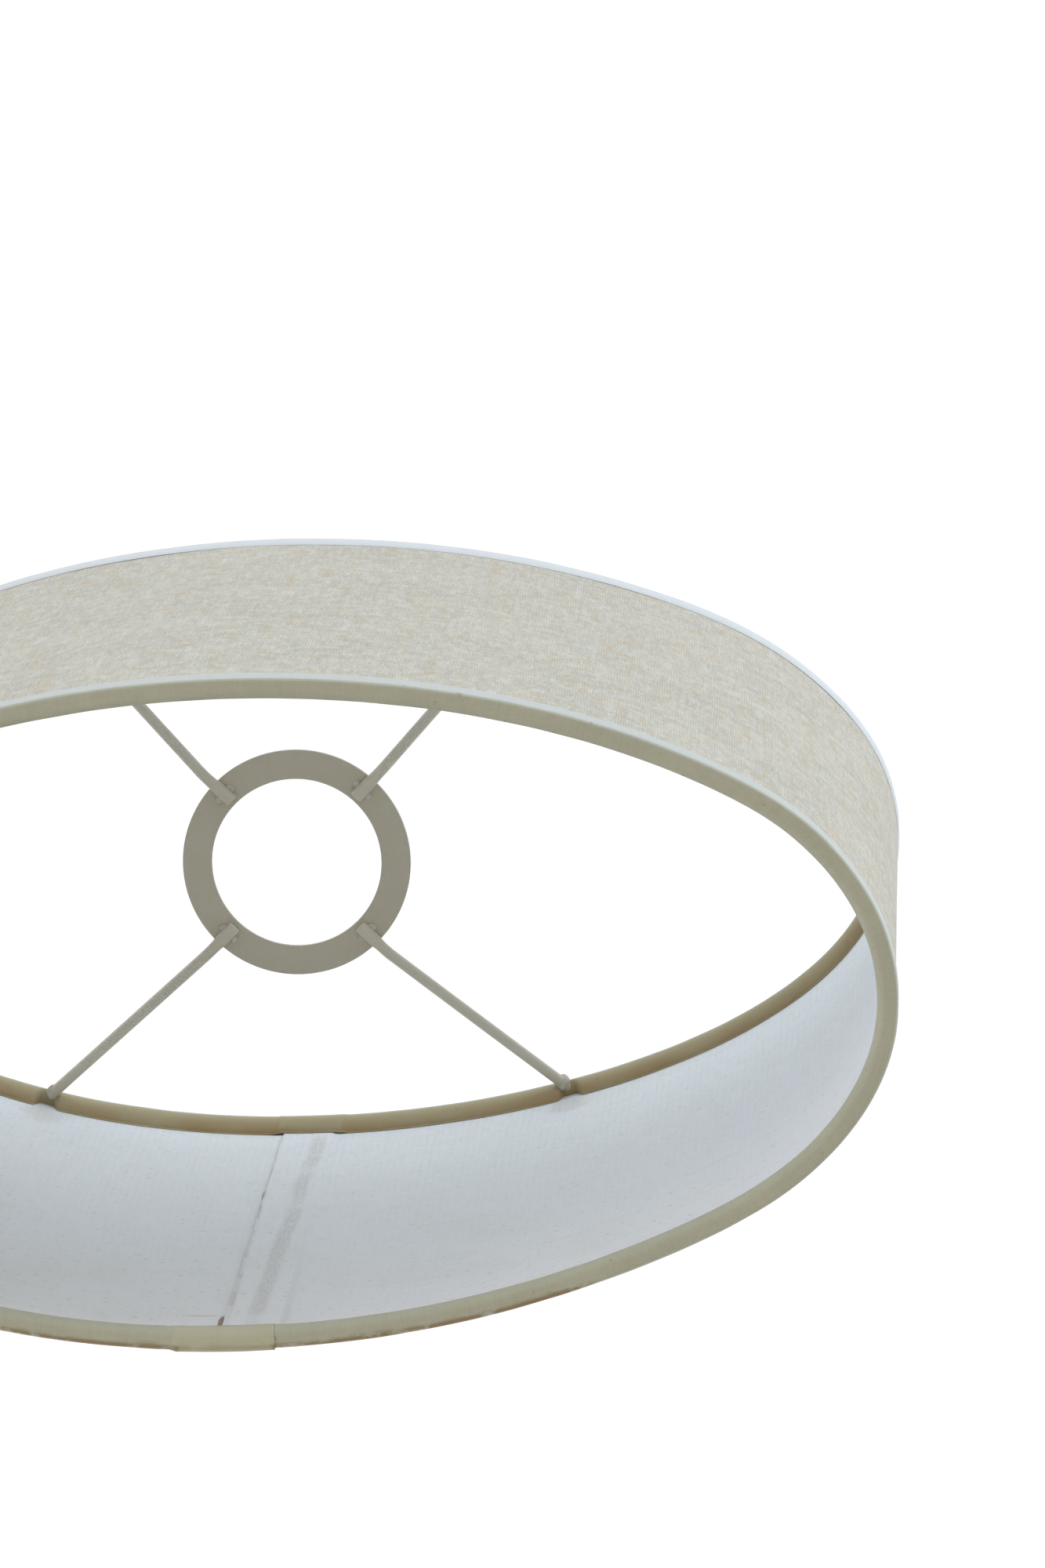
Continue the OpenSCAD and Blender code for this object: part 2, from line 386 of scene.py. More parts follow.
class Value:
    """A number that changes over a surface. Arithmetic on it adds Math nodes."""

    def __init__(self, recipe: "Recipe", socket: Any) -> None:
        """Wraps a socket of a recipe's node tree."""
        self.recipe = recipe
        self.socket = socket

    def maths(self, operation: str, *terms: Any) -> "Value":
        """Adds a Math node of an operation, with its inputs in order."""
        node = self.recipe.node("ShaderNodeMath", {"operation": operation}, dict(enumerate(terms)))
        return Value(self.recipe, node.outputs[0])

    def __add__(self, other: Any) -> "Value":
        """Sum."""
        return self.maths("ADD", self, other)

    __radd__ = __add__

    def __sub__(self, other: Any) -> "Value":
        """Difference."""
        return self.maths("SUBTRACT", self, other)

    def __rsub__(self, other: Any) -> "Value":
        """Difference from a plain number."""
        return self.maths("SUBTRACT", other, self)

    def __mul__(self, other: Any) -> "Value":
        """Product."""
        return self.maths("MULTIPLY", self, other)

    __rmul__ = __mul__

    def __abs__(self) -> "Value":
        """Size without its sign."""
        return self.maths("ABSOLUTE", self)

    def floor(self) -> "Value":
        """Whole number below."""
        return self.maths("FLOOR", self)

    def sine(self) -> "Value":
        """Sine of an angle in radians."""
        return self.maths("SINE", self)

    def most(self, other: Any) -> "Value":
        """The larger of two."""
        return self.maths("MAXIMUM", self, other)

    def over(self, other: Any) -> "Value":
        """1 where this is the larger, otherwise 0."""
        return self.maths("GREATER_THAN", self, other)

    def rise(self, low: float, high: float) -> "Value":
        """Eases from 0 at low to 1 at high; high may be the smaller."""
        node = self.recipe.node(
            "ShaderNodeMapRange",
            {"interpolation_type": "SMOOTHSTEP"},
            {"Value": self, "From Min": low, "From Max": high},
        )
        return Value(self.recipe, node.outputs[0])


class Recipe:
    """A node tree being filled, with one way to add any node."""

    def __init__(self, tree: bpy.types.NodeTree) -> None:
        """Empties the tree."""
        self.tree = tree
        self.places: tuple[Value, ...] = ()
        tree.nodes.clear()

    @classmethod
    def named(cls, name: str) -> "Recipe":
        """Empty recipe of a new material."""
        material = bpy.data.materials.new(name)
        material.use_nodes = True
        recipe = cls(material.node_tree)
        recipe.material = material
        return recipe

    def node(
        self,
        kind: str,
        settings: Mapping[str, Any] | None = None,
        inputs: Mapping[Any, Any] | None = None,
    ) -> bpy.types.Node:
        """Adds a node: its settings first, then its sockets.

        Args:
            kind: The node's type.
            settings: Its own settings; "stops" are a ramp's places and colours.
            inputs: Values or links by socket name or number.

        Returns:
            The node.
        """
        node = self.tree.nodes.new(kind)
        for key, value in (settings or {}).items():
            if key == "stops":
                elements = node.color_ramp.elements
                for _ in range(len(value) - len(elements)):
                    elements.new(0.5)
                for element, (place, colour) in zip(elements, value):
                    element.position = place
                    element.color = (*colour, 1.0)
            else:
                setattr(node, key, value)
        for key, value in (inputs or {}).items():
            socket = node.inputs[key]
            if isinstance(value, Value):
                value = value.socket
            if isinstance(value, bpy.types.NodeSocket):
                self.tree.links.new(value, socket)
            elif isinstance(value, tuple) and len(value) == 3 and socket.type == "RGBA":
                socket.default_value = (*value, 1.0)
            else:
                socket.default_value = value
        return node

    def cut(self) -> tuple[Value, Value]:
        """Places along and across the cloth as it was cut, in metres."""
        if not self.places:
            source = self.node("ShaderNodeUVMap", {"uv_map": CUT_MAP})
            parts = self.node("ShaderNodeSeparateXYZ", {}, {0: source.outputs[0]})
            self.places = (Value(self, parts.outputs[0]), Value(self, parts.outputs[1]))
        return self.places

    def grain(self, fine: float, fine_up: float, detail: float = 2.0, rough: float = 0.5) -> Value:
        """Soft noise on the cloth as it was cut, with so many waves a metre along and across it."""
        along, up = self.cut()
        return self.noise((along * fine, up * fine_up), 1.0, detail, rough)

    def mark(self, name: str) -> Value:
        """A mark that the mesh carries at its points."""
        node = self.node("ShaderNodeAttribute", {"attribute_name": name})
        return Value(self, node.outputs["Fac"])

    def spot(self) -> Any:
        """Place on the object, in metres."""
        return self.node("ShaderNodeTexCoord").outputs["Object"]

    def noise(self, at: Any, scale: float = 1.0, detail: float = 2.0, rough: float = 0.5) -> Value:
        """Soft noise around 0.5.

        Args:
            at: A point's socket, or two values for flat noise.
            scale: Waves in a metre.
            detail: Octaves.
            rough: How strong the finer octaves are.

        Returns:
            The noise.
        """
        flat = isinstance(at, tuple)
        if flat:
            at = self.node("ShaderNodeCombineXYZ", {}, {0: at[0], 1: at[1]}).outputs[0]
        node = self.node(
            "ShaderNodeTexNoise",
            {"noise_dimensions": "2D" if flat else "3D"},
            {"Vector": at, "Scale": scale, "Detail": detail, "Roughness": rough},
        )
        return Value(self, node.outputs[0])

    def mix(self, share: Any, first: Any, second: Any) -> Any:
        """Mixes two colours or sockets, with so much of the second."""
        settings = {"data_type": "RGBA", "clamp_factor": True}
        node = self.node("ShaderNodeMix", settings, {0: share, 6: first, 7: second})
        return node.outputs[2]

    def layer(self, body: Any, *coats: tuple[Any, Colour]) -> Any:
        """Lays coats of colour over a body, one after the other.

        Args:
            body: The colour below.
            coats: How much of each coat, and its colour.

        Returns:
            The finished colour's socket.
        """
        for share, colour in coats:
            body = self.mix(share, body, colour)
        return body

    def surface(
        self, colour: Any, roughness: Any, height: Value, relief: float, **steady: Any
    ) -> bpy.types.Material:
        """Closes the recipe with a shader over a bump.

        Args:
            colour: Base colour.
            roughness: Roughness.
            height: Height of the bump, from 0 to 1.
            relief: Depth of the bump in metres.
            steady: Constants of the shader, by socket name with _ for a space.

        Returns:
            The finished material.
        """
        bump = self.node("ShaderNodeBump", {}, {"Distance": relief, "Height": height})
        inputs = {"Base Color": colour, "Roughness": roughness, "Normal": bump.outputs["Normal"]}
        inputs.update({key.replace("_", " "): value for key, value in steady.items()})
        shader = self.node("ShaderNodeBsdfPrincipled", {}, inputs)
        self.node("ShaderNodeOutputMaterial", {}, {"Surface": shader.outputs[0]})
        return self.material


# ---------------------------------------------------------------- finishes


@dataclass(frozen=True)
class PlainWeave:
    """Threads that pass over and under each other in turn.

    Across the cloth a thread's height is the size of a sine, and along it the thread rises and
    dips with a sine that changes sign from one thread to the next. The higher thread shows.
    """

    pitch: float
    wander: float
    slub: float
    group: float = 2.0 * MM

    def lay(self, recipe: Recipe) -> tuple[Value, Value, Value]:
        """Adds the weave to a recipe.

        Args:
            recipe: The material being mixed.

        Returns:
            Height, tone of the thread that shows, and 1 where a level thread shows.
        """
        along, up = recipe.cut()
        bend = 1.0 / (24.0 * self.pitch)
        a = along * (1.0 / self.pitch)
        a = a + (recipe.noise((along * bend * 1.7, up * bend), 1.0, 1.0) - 0.5) * self.wander
        b = up * (1.02 / self.pitch)
        b = b + (recipe.noise((along * bend, up * bend * 1.7 + 9.0), 1.0, 1.0) - 0.5) * self.wander
        column, row = a.floor(), b.floor()
        upright = abs((a * math.pi).sine()) * (((b + column) * math.pi).sine() * 0.36 + 0.64)
        level = abs((b * math.pi).sine()) * (0.64 - ((a + row) * math.pi).sine() * 0.36)
        shows_level = level.over(upright)
        slow = 1.0 / self.slub
        tone_level = recipe.noise((along * slow, row * 7.31), 1.0, 2.5, 0.6)
        tone_upright = recipe.noise((up * (slow * 1.3) + 40.0, column * 5.77), 1.0, 2.5, 0.6)
        tone = tone_upright + (tone_level - tone_upright) * shows_level
        return level.most(upright), tone, shows_level

    def ribs(self, recipe: Recipe) -> Value:
        """Upright grooves between groups of threads, stronger in some places than in others; the
        finishes use it only for painted shade in the grooves.

        Args:
            recipe: The material being mixed.

        Returns:
            1 in the middle of a groove, 0 on a group.
        """
        along, _ = recipe.cut()
        bend = recipe.grain(60.0, 22.0, 1.0) - 0.5
        place = along * (1.0 / self.group) + bend * 0.9
        groove = abs((place * math.pi).sine()).rise(0.75, 0.10)
        return groove * recipe.grain(170.0, 90.0).rise(0.30, 0.62)


def soft_patch(recipe: Recipe, along: float, up: float, wide: float, high: float, soft: float) -> Value:
    """A soft-edged oval patch on the cut, broken up by noise.

    Args:
        recipe: The material being mixed.
        along: Middle of the patch along the cloth.
        up: Middle of the patch across it.
        wide: Half its width.
        high: Half its height.
        soft: How much the noise eats into it.

    Returns:
        1 inside, 0 outside.
    """
    u, v = recipe.cut()
    du, dv = (u - along) * (1.0 / wide), (v - up) * (1.0 / high)
    ragged = recipe.noise((u, v), 0.9 / min(wide, high), 3.0, 0.6) - 0.5
    return (du * du + dv * dv + ragged * soft).rise(1.0, 0.25)


@dataclass(frozen=True)
class Linen:
    """Slubby oatmeal linen of the cover."""

    pale: Colour = (0.582, 0.578, 0.54)
    grey: Colour = (0.405, 0.405, 0.37)
    ochre: Colour = (0.50, 0.40, 0.25)
    weave: PlainWeave = PlainWeave(pitch=0.62 * MM, wander=1.4, slub=7.0 * MM)

    def mix(self) -> bpy.types.Material:
        """Grey to pale threads with ochre flecks and a broad mottle, and painted shade in the
        weave's hollows and upright grooves.
        """
        recipe = Recipe.named("linen_cover")
        height, tone, level = self.weave.lay(recipe)
        along, up = recipe.cut()
        broad = recipe.noise((along, up), 38.0, 3.0, 0.55)
        fleck = recipe.grain(230.0, 210.0, 3.0, 0.65)
        cloud = recipe.grain(330.0, 170.0, 2.0, 0.6)
        fibre = recipe.grain(3200.0, 3200.0, 2.0, 0.7)
        slub = recipe.grain(150.0, 420.0)
        ochre = fleck.rise(0.50, 0.66) * (0.36 + level * 0.30) + slub.rise(0.56, 0.68) * 0.34
        body = recipe.layer(
            self.grey,
            (tone.rise(0.27, 0.70), self.pale),
            (ochre, self.ochre),
            # Painted shade in the weave's hollows: darker where the threads lie low.
            (height.rise(0.55, 0.12) * 0.36, (0.33, 0.31, 0.26)),
            # Painted shade in the upright grooves between groups of threads.
            (self.weave.ribs(recipe) * 0.34, (0.43, 0.41, 0.35)),
            (cloud.rise(0.42, 0.70) * 0.18, (0.80, 0.79, 0.75)),
            (broad.rise(0.3, 0.7) * 0.10, (0.80, 0.78, 0.70)),
        )
        lift = height + fibre * 0.25 + (tone - 0.5) * 0.6
        return recipe.surface(
            body, 0.93, lift, 0.22 * MM, Specular_IOR_Level=0.18, Sheen_Weight=0.12,
            Sheen_Roughness=0.6,
        )


@dataclass(frozen=True)
class LiningSheet:
    """White laminated lining with a faint weave and the marks of its glued seam."""

    length: float
    seam_run: float
    spoke_runs: Sequence[float]
    height: float
    white: Colour = (0.805, 0.84, 0.885)
    weave: PlainWeave = PlainWeave(0.42 * MM, wander=1.0, slub=12.0 * MM, group=1.75 * MM)

    def mix(self) -> bpy.types.Material:
        """Faint threads and specks with painted shade in their hollows and grooves, streaked glue
        beside the seam, soft stains and brown patches below the back spoke ends, painted light that
        makes it paler and bluer towards the bottom, and painted shade along the seam's free edge.
        """
        recipe = Recipe.named("lining_sheet")
        height, tone, _ = self.weave.lay(recipe)
        along, up = recipe.cut()
        broad = recipe.noise((along, up), 30.0, 3.0, 0.5)
        speck = recipe.grain(520.0, 520.0, 1.5)
        slub = recipe.noise((along * 22.0, (up * 2100.0).floor() * 3.7), 1.0, 1.0, 0.5)
        cloud = recipe.grain(420.0, 150.0, 2.0, 0.6)
        body = recipe.layer(
            (0.74, 0.785, 0.82),
            (tone.rise(0.25, 0.75) * 0.6, self.white),
            # Painted shade in the weave's hollows: darker where the threads lie low.
            (height.rise(0.55, 0.1) * 0.16, (0.50, 0.54, 0.58)),
            # Painted shade in the upright grooves between groups of threads.
            (self.weave.ribs(recipe) * 0.15, (0.52, 0.55, 0.58)),
            (cloud.rise(0.35, 0.70) * 0.12, (0.60, 0.63, 0.65)),
            # Painted light: paler and bluer towards the bottom edge.
            (up.rise(self.height, 0.0) * 0.75, (0.875, 0.905, 0.99)),
            (broad.rise(0.45, 0.75) * 0.22, (0.74, 0.755, 0.745)),
            (speck.rise(0.69, 0.76) * 0.30, (0.45, 0.42, 0.38)),
            (slub.rise(0.72, 0.80) * 0.22, (0.60, 0.55, 0.44)),
        )
        body = self.seam_marks(recipe, body)
        lift = height + (tone - 0.5) * 0.5
        return recipe.surface(body, 0.72, lift, 0.07 * MM, Specular_IOR_Level=0.25)

    def seam_marks(self, recipe: Recipe, body: Any) -> Any:
        """Adds the marks of gluing, a line of painted shade along the free edge and soft brown
        patches below the back spoke ends.

        The streak is a soft band beside the free edge, with an upright grain from noise that is
        squeezed along the cloth, and fainter in places along its height.

        Args:
            recipe: The material being mixed.
            body: The sheet's colour so far.

        Returns:
            The marked colour's socket.
        """
        along, up = recipe.cut()
        sway = (recipe.noise((up * 28.0, up * 0.0), 1.0, 2.0) - 0.5) * (3.0 * MM)
        across = abs(along - (self.length - 5.6 * MM) + up * 0.020 + sway)
        grain = recipe.grain(1500.0, 260.0, 3.0, 0.65)
        patches = recipe.noise((along * 0.0, up * 34.0 + 3.0), 1.0, 2.0, 0.6)
        band = across.rise(2.6 * MM, 0.9 * MM) * (grain.rise(0.30, 0.66) * 0.7 + 0.3)
        band = band * (patches.rise(0.30, 0.50) * 0.75 + 0.25) * up.rise(12.0 * MM, 16.0 * MM)
        band = band * up.rise(self.height - 10.0 * MM, self.height - 18.0 * MM)
        # Painted shade with some staining: the last 0.7 mm of the lapped end darkens along the free
        # edge, in patches.
        edge = (along - (self.length - 0.7 * MM)).rise(0.0, 0.5 * MM)
        shade_patches = recipe.grain(30.0, 60.0).rise(0.46, 0.60)
        foot = soft_patch(recipe, self.seam_run + 1.5 * MM, 21.0 * MM, 1.0 * MM, 7.0 * MM, 0.9)
        drip = soft_patch(recipe, self.seam_run + 0.3 * MM, 146.0 * MM, 0.55 * MM, 6.0 * MM, 1.0)
        thread = soft_patch(recipe, self.seam_run + 6.5 * MM, 27.0 * MM, 5.2 * MM, 0.7 * MM, 0.6)
        # Soft brown patches on the lining 15 mm below the top, under the two back spoke ends.
        high = self.height - 15.0 * MM
        spoke_end_patches = [
            (soft_patch(recipe, run, high, wide * MM, 9.0 * MM, 1.0) * 0.22, (0.42, 0.33, 0.26))
            for run, wide in zip(self.spoke_runs, (7.0, 6.0))
        ]
        return recipe.layer(
            body,
            (band * 0.40, (0.42, 0.39, 0.35)),
            # Painted shade along the free edge, patchy, with some staining.
            (edge * (shade_patches * 0.25 + 0.12), (0.42, 0.36, 0.30)),
            (foot * 0.85, (0.22, 0.12, 0.06)),
            (drip * 0.7, (0.36, 0.22, 0.12)),
            (thread * 0.55, (0.55, 0.42, 0.30)),
            *spoke_end_patches,
        )


@dataclass(frozen=True)
class EdgeCotton:
    """Fine pressed cotton of the edge tapes."""

    name: str
    glue_tint: float
    # Outer-face colour: painted light, paler and bluer than the tape, standing for the lit side.
    outside: Colour
    pale: Colour = (0.525, 0.53, 0.455)
    weave: PlainWeave = PlainWeave(pitch=0.34 * MM, wander=0.7, slub=9.0 * MM)

    def mix(self) -> bpy.types.Material:
        """Even threads with painted shade in their hollows, yellower where glued; painted light on
        the outer face, painted shade on the inner flap, in its crease and along the bottom tape's
        outer corner.
        """
        recipe = Recipe.named(self.name)
        height, tone, _ = self.weave.lay(recipe)
        along, up = recipe.cut()
        broad = recipe.noise((along, up), 55.0, 3.0, 0.55)
        speck = recipe.grain(430.0, 430.0, 1.0)
        corner_shade_breakup = recipe.grain(200.0, 400.0, 3.0, 0.6).rise(0.26, 0.50)
        cloud = recipe.grain(60.0, 260.0).rise(0.25, 0.6) * 0.3 + 0.7
        body = recipe.layer(
            (0.47, 0.475, 0.40),
            (tone.rise(0.3, 0.7) * 0.7, self.pale),
            # Painted shade in the weave's hollows: darker where the threads lie low.
            (height.rise(0.5, 0.1) * 0.2, (0.40, 0.40, 0.34)),
            (broad.rise(0.45, 0.7) * 0.16, (0.62, 0.615, 0.54)),
            # Painted light: the outer face is painted paler and bluer than the rest of the tape.
            (recipe.mark("outer") * 0.92, self.outside),
            (recipe.mark("glued") * self.glue_tint, (0.66, 0.62, 0.44)),
            # Painted shade: the inner flap is painted olive-brown, with some yellowing of the glued
            # cloth.
            (recipe.mark("aged") * 0.85, (0.42, 0.355, 0.205)),
            # Painted shade: a brown line along the bottom tape's outer corner, broken up by noise.
            (recipe.mark("frayed") * corner_shade_breakup * 0.75, (0.26, 0.15, 0.07)),
            # Painted shade, browner towards the crease at the lining, patchy, with some soiling.
            (recipe.mark("soiled") * cloud * 0.70, (0.34, 0.215, 0.09)),
            (speck.rise(0.79, 0.84) * 0.35, (0.25, 0.21, 0.15)),
        )
        lift = height + (tone - 0.5) * 0.4
        return recipe.surface(
            body, 0.84, lift, 0.07 * MM, Specular_IOR_Level=0.22, Sheen_Weight=0.08
        )


@dataclass(frozen=True)
class WirePaint:
    """Satin grey-beige paint on wire and ring."""

    name: str
    paint: Colour = (0.575, 0.53, 0.43)
    bare: Colour = (0.27, 0.22, 0.16)
    bare_from: float = 0.73

    def mix(self) -> bpy.types.Material:
        """Paint with slow changes of tone, orange-peel relief with a faint painted highlight on its
        high points, and small bare spots.
        """
        recipe = Recipe.named(self.name)
        spot = recipe.spot()
        slow = recipe.noise(spot, 45.0, 3.0, 0.5)
        peel = recipe.noise(spot, 900.0, 2.0, 0.5)
        chip = recipe.noise(spot, 420.0, 4.0, 0.6)
        bare = chip.rise(self.bare_from, self.bare_from + 0.06)
        body = recipe.layer(
            self.paint,
            (slow.rise(0.3, 0.7) * 0.30, (0.45, 0.40, 0.33)),
            # Painted highlight: lighter where the orange peel is high.
            (peel.rise(0.4, 0.7) * 0.08, (0.66, 0.61, 0.52)),
            (bare * 0.8, self.bare),
        )
        gloss = slow * 0.12 + 0.40 + bare * 0.25
        return recipe.surface(body, gloss, peel - bare * 0.5, 0.012 * MM, Specular_IOR_Level=0.42)


@dataclass(frozen=True)
class WeldBead:
    """Painted weld with rust at its edges."""

    def mix(self) -> bpy.types.Material:
        """Light paint over a lumpy bead, rusty in patches."""
        recipe = Recipe.named("weld_bead")
        spot = recipe.spot()
        patch = recipe.noise(spot, 520.0, 3.0, 0.6)
        lump = recipe.noise(spot, 1500.0, 3.0, 0.6)
        body = recipe.mix(patch.rise(0.58, 0.68) * 0.8, (0.52, 0.485, 0.405), (0.28, 0.18, 0.11))
        return recipe.surface(body, patch * 0.3 + 0.4, lump, 0.05 * MM, Specular_IOR_Level=0.4)


@dataclass(frozen=True)
class DriedGlue:
    """Amber film of dried glue."""

    def mix(self) -> bpy.types.Material:
        """Brown film, paler where thin."""
        recipe = Recipe.named("dried_glue")
        spot = recipe.spot()
        cloud = recipe.noise(spot, 300.0, 3.0, 0.6)
        body = recipe.mix(cloud.rise(0.35, 0.65), (0.30, 0.19, 0.10), (0.46, 0.36, 0.24))
        return recipe.surface(body, cloud * 0.2 + 0.35, cloud, 0.1 * MM, Specular_IOR_Level=0.45)


# ---------------------------------------------------------------- sub-assemblies


@dataclass(frozen=True)
class Wall:
    """The lined wall: cover strip, lining strip and the glue in the lining's seam."""

    oval: Oval
    cover_t: float
    lining_t: float
    edge_in: float = 0.6 * MM
    tape_zone: float = 12.0 * MM
    adhesive_t: float = 0.15 * MM
    ripple_size: float = 0.14 * MM
    waves: tuple[tuple[int, float, float], ...] = (
        (5, 1.3, 0.8), (9, -2.1, 0.6), (14, 2.9, 0.5), (23, -3.7, 0.35)
    )
    rows: int = 40
    slant: float = 0.7 * MM
    cover_lap: Lap = Lap(-18.0 * MM, -8.0 * MM, Way.CLOCKWISE, 0.55 * MM)
    lining_lap: Lap = Lap(4.0 * MM, -8.0 * MM, Way.ANTICLOCKWISE, -0.58 * MM)

    def ripple(self, turn: Array, up: Array) -> Array:
        """Unevenness of the stretched wall, which fades out under the tapes.

        It is a few low cosine waves round the oval whose phase leans with height. Each wave has
        its number of crests, its lean and its share of the size.

        Args:
            turn: Ellipse parameter.
            up: Height.

        Returns:
            Distance outwards.
        """
        waves = sum(
            size * np.cos(order * turn + lean * up / self.oval.height + order)
            for order, lean, size in self.waves
        )
        inside = np.minimum(up, self.oval.height - up) - 0.5 * self.tape_zone
        return self.ripple_size * waves * smooth(inside / self.tape_zone)

    def strip(self, name: str, lap: Lap, face: float, thickness: float, seed: int) -> Skin:
        """A strip of sheet round the oval, as a thin closed shell.

        Each ring runs up the outer face and down the inner one. The free end wanders a little
        and stands off what it lies on.

        Args:
            name: Name for the log.
            lap: Its overlap.
            face: Place of its outer face, outwards from the cover's face.
            thickness: Its thickness.
            seed: Seed of the free end's wander.

        Returns:
            The skin.
        """
        course = lap.course(self.oval, 2.4 * MM)
        up = np.linspace(self.edge_in, self.oval.height - self.edge_in, self.rows)
        up = np.concatenate([up, up[::-1]])[None, :]
        side = np.repeat([1.0, -1.0], self.rows)[None, :] * (0.5 * thickness - 0.01 * MM)
        along = course.along[:, None]
        free = smooth((along - course.length + 6.0 * MM) / (6.0 * MM))
        shift = free * (self.slant * (1.0 - 2.0 * up / self.oval.height) + 0.3 * MM)
        shift = shift + free * drift(up, 0.16, 0.16 * MM, seed)
        curl = free**3 * (0.10 * MM + np.abs(drift(up, 0.12, 0.16 * MM, seed + 1)))
        curl = curl * smooth((np.minimum(up, self.oval.height - up) - self.tape_zone) / (9.0 * MM))
        start = self.oval.run_at_x(lap.under_x)
        turn = self.oval.turn_at(start + lap.way.value * (along + shift))
        pressed = smooth((self.tape_zone - np.minimum(up, self.oval.height - up)) / (6.0 * MM))
        raised = course.raised[:, None] * (1.0 - 0.3 * pressed)
        raised = raised + math.copysign(1.0, lap.lift) * curl
        middle = face - 0.5 * thickness + self.ripple(turn, up) + raised
        out = middle + side * course.ends(0.35 * MM)[:, None]
        LOG.info("%s is cut %.0f mm long", name, course.length / MM)
        return Skin(self.oval.place(turn, out, up), closed(spread(along + shift, up)))

    def glue_film(self) -> Skin:
        """Film between the lining's two ends, with wandering sides and a tongue at its foot."""
        up = np.linspace(9.0 * MM, self.oval.height - 9.0 * MM, 90)[:, None]
        left = -6.6 * MM + drift(up, 0.05, 0.5 * MM, 21)
        left = left - 2.9 * MM * np.exp(-(((up - 14.0 * MM) / (2.2 * MM)) ** 2))
        left = left - 1.2 * MM * np.exp(-(((up - 128.0 * MM) / (3.0 * MM)) ** 2))
        right = 2.4 * MM + drift(up, 0.05, 0.5 * MM, 22)
        share = np.linspace(0.0, 1.0, 13)
        share = np.concatenate([share, share[::-1]])[None, :]
        across = left + (right - left) * share
        turn = np.arccos(across / self.oval.half_length)
        domed = np.sqrt(np.clip(1.0 - (2.0 * share - 1.0) ** 4, 0.0, 1.0))
        side = np.repeat([0.0, -1.0], 13)[None, :]
        face = -self.cover_t - self.lining_t
        out = face + self.ripple(turn, up) + side * self.adhesive_t * (0.25 + 0.75 * domed)
        return Skin(self.oval.place(turn, out, up), closed(spread(across, up)))

    def build(self, spoke_turns: Sequence[float]) -> None:
        """Makes the cover, the lining and the glue.

        Args:
            spoke_turns: Turns of the two back spokes, below whose ends brown patches are painted on
                the lining.
        """
        oval, high = self.oval, self.oval.height - 2.0 * self.edge_in
        start = oval.run_at_x(self.lining_lap.under_x)
        cover_length, lining_length = (
            lap.course(oval, 0.1).length for lap in (self.cover_lap, self.lining_lap)
        )
        lining_sheet = LiningSheet(
            length=lining_length,
            seam_run=oval.run_at_x(self.lining_lap.over_x) - start,
            spoke_runs=[(oval.run_at_turn(t) - start) % oval.girth for t in spoke_turns],
            height=oval.height,
        )
        skin = self.strip("cover", self.cover_lap, 0.0, self.cover_t, 11)
        cover = lay_mesh("cover_strip", [skin])
        settle(cover, Linen().mix(), ["cover", "cover_seam_lap"])

        skin = self.strip("lining", self.lining_lap, -self.cover_t, self.lining_t, 13)
        lining = lay_mesh("lining_strip", [skin])
        settle(lining, lining_sheet.mix(), ["lining", "lining_seam_lap"])

        glue = lay_mesh("seam_glue_film", [self.glue_film()])
        settle(glue, DriedGlue().mix(), ["seam_adhesive"])


